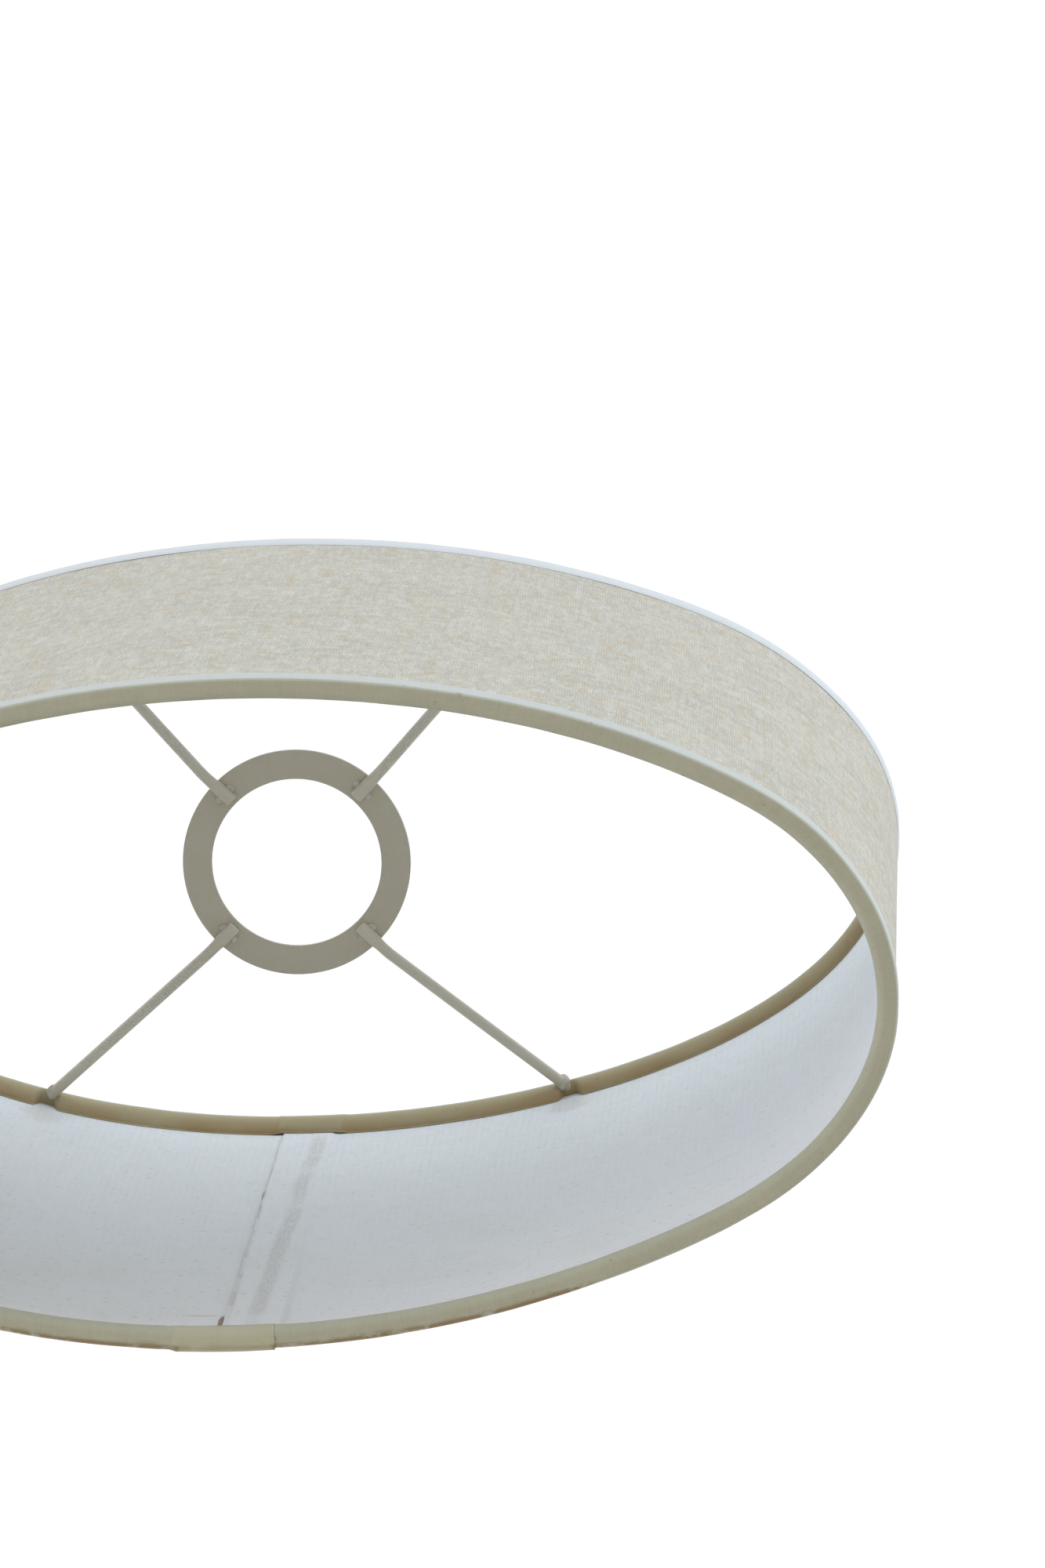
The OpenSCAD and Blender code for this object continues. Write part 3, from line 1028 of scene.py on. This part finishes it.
@dataclass(frozen=True)
class EdgeTape:
    """Cotton tape folded over one edge and round its rim wire."""

    oval: Oval
    edge: Edge
    lap: Lap
    wall_t: float
    wire_in: float
    wire_up: float
    wire_r: float
    thickness: float = 0.5 * MM
    outside: float = 9.0 * MM
    inside: float = 8.0 * MM
    hem: float = 0.7 * MM
    bend: float = 0.5 * MM
    notches: tuple[float, ...] = ()
    seed: int = 31

    def section(self) -> tuple[Array, Array, Array, Array]:
        """Middle line of the tape's section at the bottom edge.

        It goes down the outside, round the wall's edge, under the wire and up its inner side.
        From there it rolls over to the lining on one arc, which starts upright and ends where
        its reach and rise meet the lining, and a short hem lies on the lining.

        Returns:
            Points, unit normals that face out of the cloth's good side, and how much each point
            belongs to the outer and to the inner flap.
        """
        half = 0.5 * self.thickness
        centre = (-self.wire_in, self.wire_up)
        flap = -self.wall_t - half
        outer = spread(half, np.linspace(self.outside, half + self.bend, 7))
        corner = arc((half - self.bend, half + self.bend), self.bend, 0.0, -90.0, 6)
        under = spread(np.linspace(half - self.bend, -self.wire_in, 4), half)
        round_wire = arc(centre, self.wire_r + half, 270.0, 180.0, 9)
        reach = flap - round_wire[-1, 0]
        rise = self.inside - self.hem - self.wire_up
        swing = 2.0 * math.atan2(reach, rise)
        angle = np.linspace(0.0, swing, 14)
        roll_r = rise / math.sin(swing)
        roll = round_wire[-1] + roll_r * spread(1.0 - np.cos(angle), np.sin(angle))
        hem = spread(flap, np.linspace(roll[-1, 1], self.inside, 3))
        line = np.concatenate([outer, corner[1:], under[1:], round_wire[1:], roll[1:], hem[1:]])
        slope = np.gradient(line, axis=0)
        slope /= np.linalg.norm(slope, axis=1, keepdims=True)
        normal = spread(-slope[:, 1], slope[:, 0])
        foot = 1.1 * MM
        on_outer = (line[:, 0] > half - 1e-9) * np.clip(
            (line[:, 1] - foot) / (self.outside - foot), 0.0, 1.0
        )
        run = run_length(line)
        start = run[-len(roll) - len(hem) + 1]
        on_inner = np.clip((run - start) / (run[-1] - start), 0.0, 1.0)
        return line, normal, on_outer, on_inner

    def skin(self) -> tuple[Skin, float, float]:
        """Carries the section round the oval.

        The flaps' free edges wander, the tape climbs over the thicker wall at the seams, and
        round each notch the inner flap is cut back to the wire.

        Returns:
            The skin, the tape's length and its width.
        """
        course = self.lap.course(self.oval, 2.2 * MM, self.notches)
        line, normal, on_outer, on_inner = self.section()
        width = run_length(line)
        near_edge = np.minimum(width, width[-1] - width)
        half = 0.5 * self.thickness * (0.25 + 0.75 * smooth(near_edge / (1.2 * MM)))
        along, turn = course.along[:, None], course.turn[:, None]
        x = self.oval.half_length * np.cos(turn)
        back = np.sin(turn) > 0.0
        seam_out = back * window(x, -19.5 * MM, -6.5 * MM, 1.5 * MM, 1.5 * MM)
        seam_in = back * window(x, -12.0 * MM, 9.0 * MM, 4.0 * MM, 5.0 * MM)
        notch = np.zeros_like(turn)
        for spoke in self.notches:
            gap = np.abs(turned_from(turn, spoke)) * math.hypot(
                self.oval.half_length * math.sin(spoke), self.oval.half_width * math.cos(spoke)
            )
            notch = np.maximum(notch, smooth((3.4 * MM - gap) / (2.0 * MM)))
        lift_in = 0.05 * MM + np.abs(drift(along, 0.21, 0.06 * MM, self.seed + 2))
        outer_end = drift(along, 0.18, 0.16 * MM, self.seed)
        inner_end = drift(along, 0.15, 0.22 * MM, self.seed + 1) - 4.3 * MM * notch
        thin = 1.0 - 0.7 * smooth(width / width[-1] * 3.5 - 1.2)
        sink = (0.5 * self.thickness - half) * np.where(width < 0.5 * width[-1], 1.0, -1.0)
        dent = drift(along, 0.06, 0.035 * MM, self.seed + 3)
        layers = []
        for sign in (1.0, -1.0):
            off = sign * half + course.raised[:, None] * thin
            off = off + dent * (1.0 - on_outer) * (1.0 - on_inner)
            out = line[:, 0] + normal[:, 0] * off - sink
            out = out + on_outer * seam_out * 0.55 * MM - on_inner * seam_in * 0.45 * MM
            out = out - on_inner**4 * lift_in
            up = line[:, 1] + normal[:, 1] * off + on_outer * outer_end + on_inner * inner_end
            layer = spread(out, up, width, on_inner)
            layers.append(layer[:, :: int(sign)])
        out, up, across, tucked = np.moveaxis(np.concatenate(layers, axis=1), -1, 0)
        if self.edge is Edge.TOP:
            up = self.oval.height - up
        points = self.oval.place(turn, out, up)
        marks = self.marks_and_painted_light(along, x, back, across, tucked)
        return Skin(points, closed(spread(along, across)), marks=marks), course.length, width[-1]

    def marks_and_painted_light(self, along: Array, x: Array, back: Array, across: Array, tucked: Array) -> dict:
        """How much each point of the cloth is glued, and how much painted light and shade it takes.

        The inner flap is painted olive-brown as soon as it passes the wire: painted shade with some
        yellowing. It is browner in patches towards the lining: painted crease shade with some
        soiling. The outer face is painted paler and bluer as the lit side. The bottom tape has a
        brown line of painted shade along its outer corner at the back, of ragged width.

        Args:
            along: Distance along the tape.
            x: Place along X.
            back: Whether it is at the back.
            across: Distance across the tape from its outer edge.
            tucked: Share of the way over the inner flap.

        Returns:
            The marks by name.
        """
        start = along - self.oval.girth
        lap_end = smooth((start + 0.5 * MM) / MM)
        patchy = smooth(0.62 + drift(along, 0.11, 0.38, self.seed + 4))
        corner = self.outside - self.bend
        # Span along the back where the corner's painted shade line runs, fainter at the lap.
        shade_patches = back * window(x, -70.0 * MM, 80.0 * MM, 10.0 * MM, 8.0 * MM)
        shade_patches = shade_patches * (1.0 - 0.6 * back * window(x, -18.0 * MM, 4.0 * MM, MM, MM))
        ragged = np.abs(drift(along, 0.05, 0.5, self.seed + 5, 14))
        reach = (0.7 + 0.8 * np.clip(ragged, 0.0, 1.2)) * MM
        frayed = shade_patches * smooth(1.3 - np.abs(across - corner - 0.3 * MM) / reach)
        return {
            "glued": smooth((start + 1.5 * MM) / (1.5 * MM)),
            # Painted shade towards the crease, patchy, with some soiling; less on the lapped end.
            "soiled": smooth((tucked - 0.12) / 0.75) * (0.35 + 0.65 * patchy) * (1.0 - 0.7 * lap_end),
            # Painted shade over the inner flap, with some yellowing.
            "aged": smooth(tucked / 0.18),
            # Painted light on the outer face.
            "outer": smooth((corner + 0.55 * MM - across) / (0.85 * MM)),
            # Painted shade along the outer corner, on the bottom tape only.
            "frayed": frayed if self.edge is Edge.BOTTOM else 0.0 * frayed,
        }

    def build(self) -> None:
        """Makes the tape."""
        skin, length, width = self.skin()
        name = f"{self.edge.value}_tape"
        tape = lay_mesh(f"{name}_strip", [skin])
        # Outer-face colour of each edge is painted light, paler and bluer than the tape; the top's
        # is brighter.
        glue_tint, outside = {
            Edge.BOTTOM: (0.25, (0.49, 0.525, 0.53)),
            Edge.TOP: (0.06, (0.60, 0.645, 0.70)),
        }[self.edge]
        cotton = EdgeCotton(f"{name}_cotton", glue_tint, outside)
        settle(tape, cotton.mix(), [name, f"{name}_join"])


@dataclass(frozen=True)
class RimWire:
    """One rim wire and the weld that closes it."""

    oval: Oval
    inset: float
    up: float
    radius: float
    weld_x: float = 32.0 * MM

    def tube(self, turn: Array, radius: Array, looped: bool) -> Skin:
        """A round section carried along the rim.

        Args:
            turn: Turns of the stations.
            radius: Radius at each station.
            looped: Whether it closes on itself.

        Returns:
            The skin.
        """
        angle = np.linspace(0.0, ROUND, 17)[None, :]
        out = -self.inset + radius[:, None] * np.cos(angle)
        up = self.up + radius[:, None] * np.sin(angle)
        rings = self.oval.place(turn[:, None], out, up)
        cut = spread(run_length(rings[:, 0])[:, None], angle * self.radius)
        if looped:
            return Skin(rings[:-1, :-1], cut, looped=True)
        return Skin(rings[:, :-1], cut)

    def wire(self) -> Skin:
        """The wire, once round."""
        turn = self.oval.turn_at(np.linspace(0.0, self.oval.girth, 361))
        return self.tube(turn, np.full(361, self.radius), True)

    def weld(self) -> Skin:
        """A lumpy collar: the wire's radius plus half a sine, with a seeded wander."""
        share = np.linspace(0.0, 1.0, 17)
        middle = self.oval.run_at_x(self.weld_x)
        turn = self.oval.turn_at(middle + (share - 0.5) * 3.6 * MM)
        radius = self.radius - 0.03 * MM + 0.22 * MM * np.sin(math.pi * share)
        return self.tube(turn, radius + drift(share, 0.7, 0.02 * MM, 41), False)


@dataclass(frozen=True)
class Spoke:
    """One bent spoke wire, level under the fitter ring and rising to the top rim."""

    end: Vector
    ring_z: float
    askew: float = 0.0
    start: float = 22.2 * MM
    corner: float = 31.75 * MM
    bend_r: float = 6.0 * MM
    radius: float = 1.4 * MM
    pressed: float = 0.4 * MM

    @property
    def heading(self) -> tuple[float, float]:
        """Cosine and sine of its plan angle."""
        reach = math.hypot(self.end.x, self.end.y)
        return self.end.x / reach, self.end.y / reach

    def sideways(self, reach: Any) -> Any:
        """Distance off the plane: all of it at the inner tip, falling evenly to none at the rim."""
        last = math.hypot(self.end.x, self.end.y)
        return self.askew * (last - reach) / (last - self.start)

    def middle_line(self) -> Array:
        """Reach and height of its middle line: level, then an arc, then straight up the slope.

        Returns:
            The stations, with the sine and cosine of the slope after them.
        """
        low = self.ring_z - self.radius + self.pressed
        reach = math.hypot(self.end.x, self.end.y)
        slope = math.atan2(self.end.z - low, reach - self.corner)
        run = self.bend_r * math.tan(0.5 * slope)
        level = np.array([0.0, 0.03, 0.1, 0.25, 0.5, 0.9, 2.0, 3.5, 5.0, 6.5]) * MM + self.start
        level = spread(level, low, 0.0)
        turn = np.linspace(0.0, slope, 12)
        out, up = self.bend_r * np.sin(turn), self.bend_r * (1 - np.cos(turn))
        bend = spread(self.corner - run + out, low + up, turn)
        share = np.linspace(0.0, 1.0, 40)[1:, None]
        last = np.array([reach, self.end.z, slope])
        rise = bend[-1] + (last - bend[-1]) * share
        rise[:, 1] -= 0.25 * MM * np.sin(math.pi * share[:, 0])
        return np.concatenate([level, bend, rise])

    def skin(self) -> Skin:
        """Carries a round section along the middle line, pressed flatter under the ring."""
        line = self.middle_line()
        angle = np.linspace(0.0, ROUND, 21)[None, :]
        reach, up, slope = (line[:, k, None] for k in range(3))
        flat = smooth((self.corner - 2.2 * MM - reach) / (3.0 * MM))
        tip = np.sqrt(1.0 - (1.0 - np.clip((reach - self.start) / (0.4 * MM), 0.0, 1.0)) ** 2)
        tip = 0.72 + 0.28 * tip
        wide = self.radius * (1.0 + 0.20 * flat) * tip
        tall = self.radius * (1.0 - 0.16 * flat) * tip
        swell = np.abs(np.cos(angle)) ** (1.0 - 0.35 * flat) * np.sign(np.cos(angle))
        across = wide * swell
        rise = tall * np.sin(angle)
        rise = np.minimum(rise, self.radius - self.pressed + 50.0 * MM * (1.0 - flat))
        x = reach - rise * np.sin(slope)
        z = up + rise * np.cos(slope)
        cos, sin = self.heading
        across = across + self.sideways(reach)
        rings = spread(x * cos - across * sin, x * sin + across * cos, z)
        cut = spread(run_length(line[:, :2])[:, None], angle * self.radius)
        return Skin(rings[:, :-1], cut)


def bead(centre: Sequence[float], size: Sequence[float], seed: int) -> Skin:
    """A lumpy weld bead: a ball stretched along X, Y and Z, dented by seeded waves.

    The radius is one plus small cosines of multiples of both angles.

    Args:
        centre: Its middle.
        size: Its three half sizes.
        seed: Seed of the dents.

    Returns:
        The skin.
    """
    rng = np.random.default_rng(seed)
    polar = np.linspace(0.04, math.pi - 0.04, 13)[:, None]
    azimuth = np.linspace(0.0, ROUND, 19)[None, :]
    phase = rng.uniform(0.0, ROUND, 3)
    lump = 1.0 + 0.10 * np.cos(2 * azimuth + phase[0]) * np.sin(polar)
    lump = lump + 0.07 * np.cos(3 * azimuth + phase[1]) * np.sin(2 * polar)
    lump = lump + 0.05 * np.cos(4 * polar + phase[2]) * np.sin(polar)
    ball = spread(np.sin(polar) * np.cos(azimuth), np.sin(polar) * np.sin(azimuth), np.cos(polar))
    rings = np.array(centre) + ball * lump[..., None] * np.array(size)
    return Skin(rings[:, :-1], spread(polar * size[0], azimuth * size[0]))


@dataclass(frozen=True)
class WireFrame:
    """Rim wires, spokes, fitter ring and their welds."""

    oval: Oval
    wire_in: float
    wire_up: float
    wire_r: float
    ring_low: float
    ring_high: float
    ring_outer: float
    ring_bore: float = 21.0 * MM
    spoke_angle: float = 45.0
    askew: tuple[float, ...] = (0.57 * MM, -0.28 * MM, 0.60 * MM, -0.52 * MM)

    def spoke_turn(self) -> float:
        """Turn at which the rim wire's middle lies at the spokes' plan angle."""
        turn = np.linspace(0.0, 0.5 * math.pi, 2001)
        still = replace(self.oval, sway_bottom=(0.0, 0.0), sway_top=(0.0, 0.0), dents=())
        point = still.place(turn, -self.wire_in, 0.0)
        angle = np.degrees(np.arctan2(point[:, 1], point[:, 0]))
        return float(np.interp(self.spoke_angle, angle, turn))

    def spoke_turns(self) -> dict[str, float]:
        """Turn of each spoke's upper end, by node name, each a little off its even place."""
        turn = self.spoke_turn()
        return {
            "spoke_back_right": turn + 0.003,
            "spoke_back_left": math.pi - turn + 0.020,
            "spoke_front_left": math.pi + turn - 0.008,
            "spoke_front_right": ROUND - turn - 0.004,
        }

    def ring_skin(self) -> Skin:
        """A flat band with rounded edges, turned about the upright through its middle."""
        round_r = 0.32 * MM
        low, high = self.ring_low + round_r, self.ring_high - round_r
        inner, outer = self.ring_bore + round_r, self.ring_outer - round_r
        corners = [(outer, low), (outer, high), (inner, high), (inner, low)]
        starts = (-90.0, 0.0, 90.0, 180.0)
        loop = np.concatenate(
            [arc(at, round_r, start, start + 90.0, 6) for at, start in zip(corners, starts)]
        )
        angle = np.linspace(0.0, ROUND, 193)[:, None]
        wide, high = loop.T[:, None, :]
        rings = spread(wide * np.cos(angle), wide * np.sin(angle), high)[:-1]
        round_section = run_length(np.concatenate([loop, loop[:1]]))[None, :]
        return Skin(rings, spread(angle * self.ring_outer, round_section), looped=True)

    def build(self) -> None:
        """Makes the wires, the ring and the welds."""
        paint = WirePaint("wire_paint").mix()
        # Painted shade: the fitter ring's paint is a darker copy of the wire paint, standing for
        # the shade on its underside.
        shaded_ring_paint = WirePaint("shaded_ring_paint", paint=(0.475, 0.44, 0.345), bare_from=0.76).mix()
        weld = WeldBead().mix()
        heights = {Edge.BOTTOM: self.wire_up, Edge.TOP: self.oval.height - self.wire_up}
        collars = []
        for edge, up in heights.items():
            rim = RimWire(self.oval, self.wire_in, up, self.wire_r)
            wire = lay_mesh(f"{edge.value}_rim_wire", [rim.wire()])
            settle(wire, paint, [f"{edge.value}_wire_rim"])
            collars.append(rim.weld())
        settle(lay_mesh("rim_weld_collars", collars), weld, ["rim_butt_welds"])

        ring = lay_mesh("fitter_ring_band", [self.ring_skin()], crease=60.0)
        settle(ring, shaded_ring_paint, ["fitter_ring"])

        ring_beads, rim_beads = [], []
        for number, (name, turn) in enumerate(self.spoke_turns().items()):
            end = Vector(self.oval.place(turn, -self.wire_in, heights[Edge.TOP]))
            spoke = Spoke(end, self.ring_low, askew=self.askew[number])
            wire = lay_mesh(f"{name}_wire", [spoke.skin()])
            settle(wire, paint, [name])
            cos, sin = spoke.heading
            middle = 0.5 * (self.ring_bore + self.ring_outer)
            for side in (1.0, -1.0):
                off = spoke.sideways(middle) + side * 1.75 * MM
                x, y = middle * cos - off * sin, middle * sin + off * cos
                size = (1.15 * MM, 1.15 * MM, 0.75 * MM)
                z = self.ring_low - 0.12 * MM
                ring_beads.append(bead((x, y, z), size, 50 + 2 * number + int(side > 0)))
            foot = end - Vector((cos * 2.3, sin * 2.3, 1.2)) * MM
            size = (2.0 * MM, 2.0 * MM, 1.7 * MM)
            rim_beads.append(bead(foot, size, 70 + number))
        for where, beads in (("ring", ring_beads), ("rim", rim_beads)):
            piece = lay_mesh(f"spoke_{where}_beads", beads)
            settle(piece, weld, [f"spoke_{where}_welds"])


# ---------------------------------------------------------------- studio


@dataclass(frozen=True)
class SoftBox:
    """One soft studio lamp."""

    name: str
    at: Colour
    aim: Colour
    size: tuple[float, float]
    watts: float
    colour: Colour = (1.0, 1.0, 1.0)

    def hang(self) -> None:
        """Adds the lamp, aimed and out of the camera's sight."""
        lamp = bpy.data.lights.new(self.name, "AREA")
        lamp.shape = "RECTANGLE"
        lamp.size, lamp.size_y = self.size
        lamp.energy = self.watts
        lamp.color = self.colour
        holder = bpy.data.objects.new(self.name, lamp)
        holder.location = self.at
        heading = Vector(self.aim) - Vector(self.at)
        holder.rotation_euler = heading.to_track_quat("-Z", "Y").to_euler()
        holder.visible_camera = False
        bpy.context.scene.collection.objects.link(holder)


@dataclass(frozen=True)
class Studio:
    """Camera, lamps, surroundings and floor."""

    lean: tuple[float, float, float] = (0.177, 0.0414, -0.0255)
    offset: tuple[float, float, float] = (-0.0626249, 0.0523008, 1.7924212)
    lens: float = 183.192
    glow: tuple[tuple[float, Colour], ...] = (
        (0.0, (0.24, 0.215, 0.135)),
        (0.30, (0.30, 0.275, 0.205)),
        (0.46, (0.52, 0.53, 0.53)),
        (0.58, (0.66, 0.70, 0.76)),
        (0.85, (0.98, 1.0, 1.0)),
    )
    floor_z: float = -3.6
    floor_r: float = 1.8

    def camera(self) -> None:
        """Sets the camera below the shade, looking up into it.

        The lean turns the shade about X, Y and Z before the camera, and the offset is where its
        origin then lies, with Y down and Z away. The camera's place and axes undo both.
        """
        x, y, z = (Matrix.Rotation(a, 3, axis) for a, axis in zip(self.lean, "XYZ"))
        turned = (z @ y @ x).transposed()
        axes = turned @ Matrix(((1, 0, 0), (0, -1, 0), (0, 0, -1)))
        data = bpy.data.cameras.new("studio_camera")
        data.lens = self.lens
        data.sensor_width = 36.0
        data.clip_start, data.clip_end = 0.05, 60.0
        camera = bpy.data.objects.new("studio_camera", data)
        camera.matrix_world = Matrix.Translation(-(turned @ Vector(self.offset))) @ axes.to_4x4()
        bpy.context.scene.collection.objects.link(camera)
        bpy.context.scene.camera = camera

    def surroundings(self) -> None:
        """White to the eye; as light, bright above and dim and warm below."""
        world = bpy.data.worlds.new("studio_world")
        bpy.context.scene.world = world
        world.use_nodes = True
        recipe = Recipe(world.node_tree)
        heading = recipe.node("ShaderNodeTexCoord").outputs["Generated"]
        parts = recipe.node("ShaderNodeSeparateXYZ", {}, {0: heading})
        height = Value(recipe, parts.outputs[2]) * 0.5 + 0.5
        glow = recipe.node("ShaderNodeValToRGB", {"stops": self.glow}, {0: height}).outputs[0]
        seen = recipe.node("ShaderNodeLightPath").outputs["Is Camera Ray"]
        lit = recipe.node("ShaderNodeBackground", {}, {0: glow, 1: 1.5})
        white = recipe.node("ShaderNodeBackground", {}, {0: (1.0, 1.0, 1.0), 1: 1.05})
        both = recipe.node(
            "ShaderNodeMixShader", {}, {0: seen, 1: lit.outputs[0], 2: white.outputs[0]}
        )
        recipe.node("ShaderNodeOutputWorld", {}, {"Surface": both.outputs[0]})

    def floor(self) -> None:
        """A pale disc well below the camera, slightly uneven in tone."""
        rim = self.floor_r * circle(np.linspace(0.0, ROUND, 97)[:-1])
        points = spread(*rim.T, self.floor_z)
        mesh = bpy.data.meshes.new("studio_floor")
        mesh.from_pydata(points.tolist(), [], [list(range(96))])
        recipe = Recipe.named("floor_paint")
        cloud = recipe.noise(recipe.spot(), 3.0, 2.0)
        colour = recipe.mix(cloud, (0.74, 0.72, 0.66), (0.78, 0.76, 0.71))
        mesh.materials.append(recipe.surface(colour, 0.9, cloud, 0.1 * MM))
        floor = bpy.data.objects.new("studio_floor", mesh)
        bpy.context.scene.collection.objects.link(floor)

    def build(self) -> None:
        """Sets the studio up."""
        self.camera()
        self.surroundings()
        self.floor()
        heart = (0.0, 0.0, 0.11)
        for box in (
            SoftBox("key_box", (2.3, -1.7, 0.15), heart, (1.6, 0.9), 36.0, (0.90, 0.95, 1.0)),
            SoftBox("back_box", (-1.2, 2.6, 0.5), heart, (2.0, 1.2), 20.0, (0.95, 0.98, 1.0)),
            SoftBox(
                "fill_box", (-2.2, -0.7, -0.9), (0.1, 0.02, 0.08), (1.6, 1.2), 19.0,
                (0.95, 0.96, 1.0),
            ),
        ):
            box.hang()
        bpy.context.scene.view_settings.view_transform = "Standard"


def main() -> None:
    """Builds the studio and every sub-assembly in order."""
    logging.basicConfig(level=logging.INFO, format="%(name)s: %(message)s")
    Studio().build()

    cover_low, cover_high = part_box("cover")
    wire_low, wire_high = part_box("bottom_wire_rim")
    ring_low, ring_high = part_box("fitter_ring")
    _, lining_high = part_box("lining")
    _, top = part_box("top_tape")
    wire_r = 0.5 * (wire_high.z - wire_low.z)
    oval = Oval(
        half_length=cover_high.x,
        half_width=-cover_low.y,
        height=top.z,
        sway_bottom=tuple(MM * v for v in (0.44, -0.46, -1.88, -0.97, 0.65, -0.41, 0.13, -0.07)),
        sway_top=tuple(MM * v for v in (1.55, 0.35, -1.05, 0.62, 0.9, -0.08, -0.08, 0.27)),
        dents=(
            (-0.07, 0.34, -2.4 * MM, 0.0),
            (0.62, 0.26, 1.4 * MM, 0.0),
            (-0.60, 0.16, 0.6 * MM, 0.0),
            (0.0, 0.36, 0.0, -1.95 * MM),
            (-0.72, 0.20, 0.0, 0.7 * MM),
            (-1.57, 0.80, 0.0, 0.5 * MM),
        ),
    )
    cover_t = cover_high.x - lining_high.x
    wire_in = cover_high.x - wire_high.x + wire_r
    wire_up = 0.5 * (wire_high.z + wire_low.z)
    wall_t = wire_in - wire_r
    wires = WireFrame(oval, wire_in, wire_up, wire_r, ring_low.z, ring_high.z, ring_high.x)
    turns = wires.spoke_turns()
    wires.build()
    Wall(oval, cover_t, wall_t - cover_t).build(
        (turns["spoke_back_right"], turns["spoke_back_left"])
    )
    tape = {"wall_t": wall_t, "wire_in": wire_in, "wire_up": wire_up, "wire_r": wire_r}
    EdgeTape(
        oval, Edge.BOTTOM, Lap(-18.0 * MM, 4.0 * MM, Way.CLOCKWISE, 0.5 * MM), seed=31, **tape
    ).build()
    EdgeTape(
        oval, Edge.TOP, Lap(7.0 * MM, -9.0 * MM, Way.ANTICLOCKWISE, 0.5 * MM),
        notches=tuple(turns.values()), seed=61, **tape,
    ).build()


if __name__ == "__main__":
    main()
